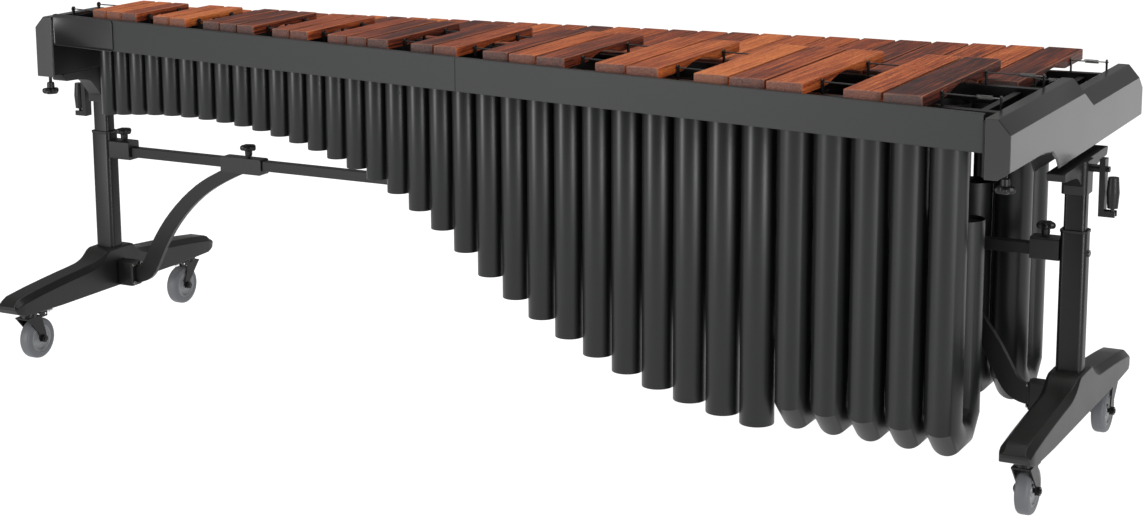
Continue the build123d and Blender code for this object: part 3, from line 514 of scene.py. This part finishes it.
# ---- bars ----
def bar_rings(low, high):
    """One bar: rounded rectangles across it, carried along its length over an arched underside.
    The underside rises as one minus the square of the distance from the middle of the hollow."""
    centre = (low + high) / 2
    half = (high - low) / 2
    length = 2 * half[1]
    ease = BAR_EASE * (1 - np.cos(np.linspace(0, math.pi / 2, 4)))
    inset_end = BAR_EASE * (1 - np.sin(np.linspace(0, math.pi / 2, 4)))
    inner = np.linspace(-1, 1, 30)
    run = np.concatenate([-half[1] + ease, inner * (half[1] - 6 * BAR_EASE), (half[1] - ease)[::-1]])
    inset = np.concatenate([inset_end, np.zeros(len(inner)), inset_end[::-1]])
    share = LOW_HOLLOW if centre[0] > 0 else HIGH_HOLLOW
    reach = (0.5 - ARCH_SHARE) * length
    hollow = 2 * half[2] * share * np.clip(1 - (run / reach) ** 2, 0, None)
    top = half[2] - inset
    bottom = -half[2] + inset + hollow
    wide = half[0] - inset
    turns = np.linspace(0, math.pi / 2, 4)
    rings = []
    for k, (sx, up) in enumerate(((1, True), (-1, True), (-1, False), (1, False))):
        angle = turns + k * math.pi / 2
        radius = BAR_ROUND if up else BAR_ROUND / 2
        x = sx * (wide - radius)[:, None] + radius * np.cos(angle)
        z = ((top - radius) if up else (bottom + radius))[:, None] + radius * np.sin(angle)
        rings.append(np.stack([x, np.broadcast_to(run[:, None], x.shape), z], -1))
    return centre, np.concatenate(rings, axis=1)


def make_bars(row, nodes):
    """Bars of one row. Each keeps its own grain coordinates, a tone, and marks for end grain and for a
    painted highlight along its edges.
    """
    rng = np.random.default_rng(BAR_TONES[row])
    for node in nodes:
        shape = Shape()
        for low, high in zip(*solids(node)):
            centre, local = bar_rings(low, high)
            rings, sides = local.shape[:2]
            tone = 0.06 + 0.80 * rng.beta(1.3, 1.3)
            shift = rng.uniform(-4, 4, 3)
            ends = np.zeros((rings, sides))
            ends[:2] = ends[-2:] = 1
            # Painted highlight mark: full on the top corners, 0.8 on the eased rings at both ends.
            edge = np.zeros((rings, sides))
            edge[:, [1, 2, 5, 6]] = 1
            edge[2:4] = edge[-4:-2] = 0.8
            shape.grid(
                (local + centre)[::-1],
                start_cap=True,
                end_cap=True,
                grain=(local + shift)[::-1],
                tone=np.full((rings, sides), tone),
                end_grain=ends,
                edge=edge,
            )
        place(f"{node}_wood", shape.mesh(node), ROSEWOOD, body_of(node), [node], 40.0)


# ---- tubes ----
def tube_wall(radius, low, high):
    """Closed section of a tube wall, up the outside, over a rolled lip and down the inside."""
    inner = radius - TUBE_WALL
    middle = radius - TUBE_WALL / 2
    lip = TUBE_WALL / 2
    outside = [(radius, low + lip), (radius, (low + high) / 2), (radius, high - lip)]
    over = [(middle + lip * 0.6, high - lip * 0.2), (middle, high), (middle - lip * 0.6, high - lip * 0.2)]
    inside = [(inner, high - lip), (inner, (low + high) / 2), (inner, low + lip)]
    under = [(middle - lip * 0.6, low + lip * 0.2), (middle, low), (middle + lip * 0.6, low + lip * 0.2)]
    return outside + over + inside + under


def bent_route(low, high, radius, way, top):
    """Down one leg, round three mitred turns and up the other leg."""
    start = low + MITRE_RUN + radius
    return np.array(
        [
            (0, 0, top),
            (0, 0, start),
            (0, way * MITRE_RUN, start - MITRE_RUN),
            (0, way * (LEG_APART - MITRE_RUN), start - MITRE_RUN),
            (0, way * LEG_APART, start),
            (0, way * LEG_APART, high),
        ]
    )


def second_leg_top(node, x, near_y, radius):
    """Highest point of a bent tube's second leg, read from its CAD node."""
    points = points_of(node)
    near = (np.abs(points[:, 0] - x) < radius) & (np.abs(points[:, 1] - near_y) < radius)
    return float(points[near, 2].max())


def finish_tubes(node, shape, sharp):
    place(f"{node}_finished", shape.mesh(node), TUBE_PAINT, body_of(node), [node], sharp)


def make_tubes():
    """Straight tubes as turned walls, and bent tubes as a pair of pipes along a mitred route."""
    for row, way in (("accidental", 1), ("natural", -1)):
        straight = f"{row}_resonators_straight"
        shape = Shape()
        for low, high in zip(*solids(straight)):
            radius = (high[0] - low[0]) / 2
            centre = ((low[0] + high[0]) / 2, (low[1] + high[1]) / 2, 0)
            wall = revolved(tube_wall(radius, low[2], high[2]), centre, "z", TUBE_SIDES)
            shape.grid(wall, closed_run=True)
        finish_tubes(straight, shape, 50.0)
        bent = f"{row}_resonators_bent"
        shape = Shape()
        for low, high in zip(*solids(bent)):
            radius = (high[0] - low[0]) / 2
            x = (low[0] + high[0]) / 2
            near = low[1] + radius if way > 0 else high[1] - radius
            second = second_leg_top(bent, x, near + way * LEG_APART, radius * 0.9)
            route = bent_route(low[2], second, radius, way, high[2])
            add_bent_tube(shape, route + (x, near, 0), radius)
        finish_tubes(bent, shape, 30.0)


def add_bent_tube(shape, route, radius):
    """Outer and inner pipes along a mitred route, each mitre a sharp ring, closed at both rims."""
    ring = circle(TUBE_SIDES)
    outer = carried(route, ring * radius, (1, 0, 0))
    inner = carried(route, ring * (radius - TUBE_WALL), (1, 0, 0))
    shape.grid(np.concatenate([outer, inner[::-1]]), closed_run=True)


# ---- stand ----
def make_columns():
    """Outer and inner columns: rounded rectangles carried up, with the top edge turned over."""
    for node, size in (("outer_columns", OUTER_COLUMN), ("inner_columns", INNER_COLUMN)):
        shape = Shape()
        half_x, half_y, corner = size
        for low, high in zip(*solids(node)):
            centre = (low + high) / 2
            turn, wall, top = COLUMN_EDGE, COLUMN_WALL, high[2]
            steps = [(0, low[2]), (0, top - turn), (turn * 0.3, top - turn * 0.3), (turn, top)]
            steps += [(wall, top), (wall, low[2])]
            rings = []
            for inset, z in steps:
                ring = rounded_ring(half_x - inset, half_y - inset, corner - inset, 8)
                rings.append(np.column_stack([ring + centre[:2], np.full(len(ring), z)]))
            shape.grid(np.array(rings), closed_run=True)
        place(f"{node}_finished", shape.mesh(node), FRAME_PAINT, body_of(node), [node], 30.0)


def foot_height(along):
    """Top of the foot: level at the hub, an easy hollow down to the arm, then a gentle fall to the nose."""
    knots_y = np.array([0, 40, 52, 62, 74, 90, 110, 140, 200, 280, 362, 378, 395]) * MM
    knots_z = np.array([222, 222, 218, 211, 204.5, 199.5, 196, 193, 188.5, 181, 172, 166, 152]) * MM
    return np.interp(np.abs(along), knots_y, knots_z)


def foot_bottom(along):
    """Base of the foot: level, then turning up at the nose."""
    knots_y = np.array([0, 250, 366, 388, 395]) * MM
    return np.interp(np.abs(along), knots_y, np.array([122, 122, 126, 134, 146]) * MM)


def foot_chamfer(along):
    """Width of the cut along the top edges, growing from the hub out along the arm."""
    return np.interp(np.abs(along), np.array([0, 46, 70, 110, 395]) * MM, np.array([3, 4, 8, 13, 13]) * MM)


def make_feet():
    """Cast feet: a six-sided section carried along. Its height, base and chamfer follow the distance
    from the hub, and its half width draws in as the square of the distance into the nose."""
    for side in ("left", "right"):
        node = f"{side}_foot"
        low, high = (np.array(c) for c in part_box(node))
        centre = (low + high) / 2
        along = np.concatenate([-FOOT_STATIONS[::-1], FOOT_STATIONS[1:]])
        top, base = foot_height(along), foot_bottom(along)
        cut = np.minimum(foot_chamfer(along), 0.45 * (top - base))
        wide = np.full(len(along), FOOT_HALF_WIDE)
        tip = np.clip((np.abs(along) - NOSE_FROM) / NOSE_LONG, 0, 1)
        wide = wide - NOSE_DRAW * tip**2
        x = np.stack([wide, wide, wide - cut, cut - wide, -wide, -wide], -1)
        z = np.stack([base, top - cut, top, top, top - cut, base], -1)
        y = np.broadcast_to(along[:, None], x.shape)
        points = np.stack([x + centre[0], y + centre[1], z], -1)
        shape = Shape()
        shape.grid(points[::-1], start_cap=True, end_cap=True)
        mesh = shape.mesh(node)
        piece = place(f"{node}_finished", mesh, CASTING_PAINT, body_of(node), [node], 28.0)
        break_edges(piece, 2.2, 3, 24)


# ---- casters ----
def make_wheels():
    """Tyre and hub as turned shapes; the hub face has a rim, a groove, a dish and a boss."""
    shoulder = [(34, 15), (43, 15), (46.5, 13.8), (49, 11), (50, 7)]
    tyre = [(r, -a) for r, a in shoulder] + shoulder[::-1]
    face = [(0, 12.5), (8, 12.5), (12, 12.2), (13, 11), (13.4, 10), (26, 10.4), (28, 12)]
    face += [(28.6, 13.6), (30, 14.2), (31, 13.2), (32, 14.2), (33.6, 14.4), (34, 13.6)]
    hub = [(r, -a) for r, a in face] + face[::-1]
    for end in ("left", "right"):
        for spot in ("front", "rear"):
            node = f"{end}_{spot}_caster_wheel"
            low, high = (np.array(c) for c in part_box(node))
            centre = (low + high) / 2
            parts = (("tyre", tyre, TYRE_RUBBER, True), ("hub", hub, HUB_PLASTIC, False))
            for part, profile, material, hollow in parts:
                shape = Shape()
                turned = revolved(np.array(profile) * MM, centre, "x", 64)
                shape.grid(turned, closed_run=hollow)
                name = f"{node}_{part}"
                place(name, shape.mesh(name), material, body_of(node), [node], 40.0)


# ---- knobs, cords and springs ----
KNOB_TALL = 15 * MM
CORD_R = 1.5 * MM
COIL_R = 3.7 * MM
COIL_WIRE = 0.7 * MM
COIL_STEP = 1.9 * MM
HOOK_WIRE = 1.4 * MM
PLATE_CORNER = 9
# How far in from the outline and back from the front each outline of the name plate lies, millimetres.
PLATE_STEPS = ((0, 2.5), (0, 0.5), (0.5, 0), (1.6, 0), (2.0, 0.5), (2.4, 0.7))


def make_knobs():
    """Five-lobed knobs: the radius is a mean plus a swing times the cosine of five times the angle,
    with mean, swing and height taken from a domed profile."""
    angle = np.linspace(0, 2 * math.pi, 80, endpoint=False)
    lobe = np.cos(5 * angle)
    cap = [(0, 0, 1.0), (6, 0, 0.99), (7, 0, 0.90), (11, 0.3, 0.93), (15, 1.4, 0.88)]
    rim = [(17.2, 2.4, 0.74), (18, 3.0, 0.5), (17.6, 2.8, 0.22), (16, 2.0, 0.04), (12, 0.8, 0.0)]
    neck = [(9.2, 0, -0.08), (9, 0, -0.6), (8.2, 0, -0.93), (7.6, 0, -0.95), (0, 0, -0.95)]
    profile = cap + rim + neck
    mean, swing, height = (np.array(v)[:, None] for v in zip(*profile))
    radius = (mean + swing * lobe) * MM
    for side in ("left", "right"):
        for place_name in ("socket", "brace", "panel"):
            node = f"{side}_{place_name}_knob"
            lows, highs = solids(node)
            head = int(np.argmax(highs[:, 0] - lows[:, 0]))
            low, high = lows[1 - head], highs[1 - head]
            up = 1 if low[2] < lows[head][2] else -1
            seat = highs[head][2] - KNOB_TALL if up > 0 else lows[head][2] + KNOB_TALL
            x = low[0] / 2 + high[0] / 2
            y = low[1] / 2 + high[1] / 2
            z = np.broadcast_to(seat + up * KNOB_TALL * height, radius.shape)
            rings = np.stack([x + radius * np.cos(angle), y + radius * np.sin(angle), z], -1)
            shape = Shape()
            shape.grid(rings)
            stem = [(0, low[2]), (3.4 * MM, low[2]), (4 * MM, low[2] + MM), (4 * MM, high[2]), (0, high[2])]
            shape.grid(revolved(stem, (x, y, 0), "z", 24))
            mesh = shape.mesh(node)
            place(f"{node}_finished", mesh, MOULDED_BLACK, body_of(node), [node], 46.0)


def make_cords():
    """Four straight cords, each a ring carried from one hook to the other."""
    node = "suspension_cords"
    shape = Shape()
    points = points_of(node).astype(float)
    for low, high in zip(*solids(node)):
        run = points[np.all((points > low - MM) & (points < high + MM), axis=1)]
        start = run[run[:, 0] < low[0] + 2 * MM].mean(axis=0)
        end = run[run[:, 0] > high[0] - 2 * MM].mean(axis=0)
        route = start + (end - start) * np.linspace(0, 1, 24)[:, None]
        shape.grid(carried(route, circle(12) * CORD_R, (0, 0, 1)), start_cap=True, end_cap=True)
    place("suspension_cords_braided", shape.mesh(node), BRAID, body_of(node), [node], 60.0)


def helix(start, end, radius, wire, turns):
    """Wire ring carried round a helix about the line from start to end, closed at both ends."""
    start, end = np.asarray(start, float), np.asarray(end, float)
    t = np.linspace(0, 1, turns * 16)
    angle = 2 * math.pi * turns * t
    line = end - start
    forward = line / np.linalg.norm(line)
    across = np.cross(forward, (0, 0, 1.0))
    across /= np.linalg.norm(across)
    up = np.cross(across, forward)
    outward = np.cos(angle)[:, None] * across + np.sin(angle)[:, None] * up
    middle = start + line * t[:, None] + radius * outward
    ring = circle(7) * wire
    return middle[:, None] + ring[None, :, :1] * outward[:, None] + ring[None, :, 1:] * forward


def make_name_plate():
    """Blank plate: rounded outlines set in steps out from the fascia, up a rim and down to a sunk face."""
    node = "blank_name_plate"
    points = points_of(node).astype(float)
    middle = np.polyfit(points[:, 0], points[:, 1], 1)
    front = points[points[:, 1] < np.polyval(middle, points[:, 0])]
    slope, start = np.polyfit(front[:, 0], front[:, 1], 1)
    low, high = points.min(axis=0), points.max(axis=0)
    centre, half = (low + high) / 2, (high - low) / 2
    rings = []
    for inset, depth in PLATE_STEPS:
        corner = (PLATE_CORNER - inset) * MM
        ring = rounded_ring(half[0] - inset * MM, half[2] - inset * MM, corner, 8)
        x = ring[:, 0] + centre[0]
        rings.append(np.stack([x, slope * x + start + depth * MM, ring[:, 1] + centre[2]], -1))
    shape = Shape()
    shape.grid(np.array(rings), start_cap=True, end_cap=True)
    place(f"{node}_finished", shape.mesh(node), PLATE_GLOSS, body_of(node), [node], 30.0)


def make_springs():
    """Coil springs wound as helices, and straight wire hooks."""
    node = "cord_springs"
    shape = Shape()
    for low, high in zip(*solids(node)):
        centre = (low + high) / 2
        start, end = (low[0], centre[1], centre[2]), (high[0], centre[1], centre[2])
        if high[2] - low[2] > 6 * MM:
            turns = round((high[0] - low[0]) / COIL_STEP)
            wire = helix(start, end, COIL_R, COIL_WIRE, turns)[::-1]
        else:
            wire = carried(np.linspace(start, end, 6), circle(10) * HOOK_WIRE, (0, 0, 1))
        shape.grid(wire, start_cap=True, end_cap=True)
    place("cord_springs_wound", shape.mesh(node), ZINC_STEEL, body_of(node), [node], 50.0)


# ---- hardware kept from the frame, with broken edges or new paint ----
def make_hardware():
    """CAD shapes kept as they are, with their edges broken by a width in millimetres."""
    kinds = [
        (FASCIA_PAINT, "grey_fascia", 0.9, ["front_fascia"]),
        (PANEL_PAINT, "grey_panel", 1.6, ["left_end_panel", "right_end_panel"]),
        (FRAME_PAINT, "black_metal", 1.0, ["frame_end_plates", "cross_members"]),
        (FRAME_PAINT, "black_metal", 1.0, ["accidental_rails", "natural_rails"]),
        (CASTING_PAINT, "black_metal", 2.0, ["lift_brackets", "beam_sockets", "brace_mounts"]),
        (FRAME_PAINT, "black_metal", 1.4, ["cross_beam", "beam_braces"]),
        (MOULDED_BLACK, "black_plastic", 0.8, ["column_bushes"]),
        (ZINC_STEEL, "steel", 0.5, ["rail_screws", "stand_bolts"]),
    ]
    for side in ("left", "right"):
        kinds.append((FRAME_PAINT, "black_metal", 1.2, [f"{side}_crank"]))
        kinds.append((MOULDED_BLACK, "black_plastic", 1.0, [f"{side}_crank_grip"]))
        for spot in ("front", "rear"):
            kinds.append((FRAME_PAINT, "black_metal", 0.8, [f"{side}_{spot}_caster_fork"]))
            kinds.append((CHROME_STEEL, "chrome", 0.8, [f"{side}_{spot}_caster_brake"]))
    for material, slot, width, nodes in kinds:
        for node in nodes:
            softened(node, material, width)


def paint_inner_nodes():
    """Nodes that keep their CAD mesh get a finish in their own material slots."""
    kinds = {
        "accidental_cord_posts": MOULDED_BLACK,
        "natural_cord_posts": MOULDED_BLACK,
        "resonator_plugs": TUBE_PAINT,
        "resonator_strips": FRAME_PAINT,
        "lift_nut_pillars": ZINC_STEEL,
        "left_lift_screw": ZINC_STEEL,
        "right_lift_screw": ZINC_STEEL,
    }
    for node, material in kinds.items():
        mesh = frame["nodes"][node].data
        mesh.materials.clear()
        mesh.materials.append(material)


# ---- studio ----
FLOOR_REACH = 40.0
SKY_LIGHT = 0.24


def make_camera():
    """Camera in front of the low end, looking along the raised row and a little down."""
    data = bpy.data.cameras.new("camera")
    data.sensor_width = 36.0
    data.lens = 71.45
    data.shift_x = -0.0517
    data.shift_y = -0.1005
    camera = bpy.data.objects.new("camera", data)
    camera.location = (2.4387, -4.4845, 1.5860)
    camera.rotation_euler = (math.pi / 2 - 0.1934, 0.0, 0.4555)
    bpy.context.scene.collection.objects.link(camera)
    bpy.context.scene.camera = camera


def make_softbox(name, where, towards, size, power):
    """Rectangular light at one point, turned towards another."""
    data = bpy.data.lights.new(name, "AREA")
    data.shape = "RECTANGLE"
    data.size, data.size_y = size
    data.energy = power
    light = bpy.data.objects.new(name, data)
    light.location = where
    aim = np.array(towards, float) - np.array(where, float)
    rise = math.atan2(aim[2], math.hypot(aim[0], aim[1]))
    turn = math.atan2(aim[1], aim[0])
    light.rotation_euler = (math.pi / 2 + rise, 0.0, turn - math.pi / 2)
    bpy.context.scene.collection.objects.link(light)


def make_studio():
    """White floor that glows a little, an even white surround and three soft lights."""
    mesh = bpy.data.meshes.new("studio_floor")
    corners = [(x * FLOOR_REACH, y * FLOOR_REACH, 0) for x, y in ((-1, -1), (1, -1), (1, 1), (-1, 1))]
    mesh.from_pydata(corners, [], [(0, 1, 2, 3)])
    floor = bpy.data.objects.new("studio_floor", mesh)
    bpy.context.scene.collection.objects.link(floor)
    material, tree, shader = new_material("pale_floor")
    shader.inputs["Base Color"].default_value = (0.20, 0.20, 0.20, 1.0)
    shader.inputs["Roughness"].default_value = 0.9
    shader.inputs["Specular IOR Level"].default_value = 0.1
    shader.inputs["Emission Color"].default_value = (1.0, 1.0, 1.0, 1.0)
    shader.inputs["Emission Strength"].default_value = 1.0
    mesh.materials.append(material)
    world = bpy.data.worlds.new("studio_world")
    world.use_nodes = True
    tree = world.node_tree
    sky = tree.nodes["Background"]
    sky.inputs["Color"].default_value = (1.0, 1.0, 1.0, 1.0)
    straight = add_node(tree, "ShaderNodeLightPath").outputs["Is Camera Ray"]
    strength = maths(tree, "MULTIPLY_ADD", straight, 1.0 - SKY_LIGHT, SKY_LIGHT)
    tree.links.new(strength, sky.inputs["Strength"])
    bpy.context.scene.world = world
    bpy.context.scene.view_settings.view_transform = "Standard"
    make_softbox("left_strip", (-3.4, -5.4, 1.3), (0.0, 0.0, 0.5), (1.2, 2.5), 215.0)
    make_softbox("right_strip", (5.6, -3.2, 1.3), (0.2, 0.0, 0.5), (1.2, 2.5), 220.0)
    make_softbox("overhead", (0.0, 0.5, 5.0), (0.0, 0.0, 0.0), (6.0, 4.0), 220.0)


make_bars("natural", ["natural_bars_low", "natural_bars_middle", "natural_bars_high"])
make_bars("accidental", ["accidental_bars_low", "accidental_bars_high"])
make_tubes()
make_columns()
make_feet()
make_wheels()
make_knobs()
make_cords()
make_springs()
make_name_plate()
make_hardware()
paint_inner_nodes()
make_camera()
make_studio()
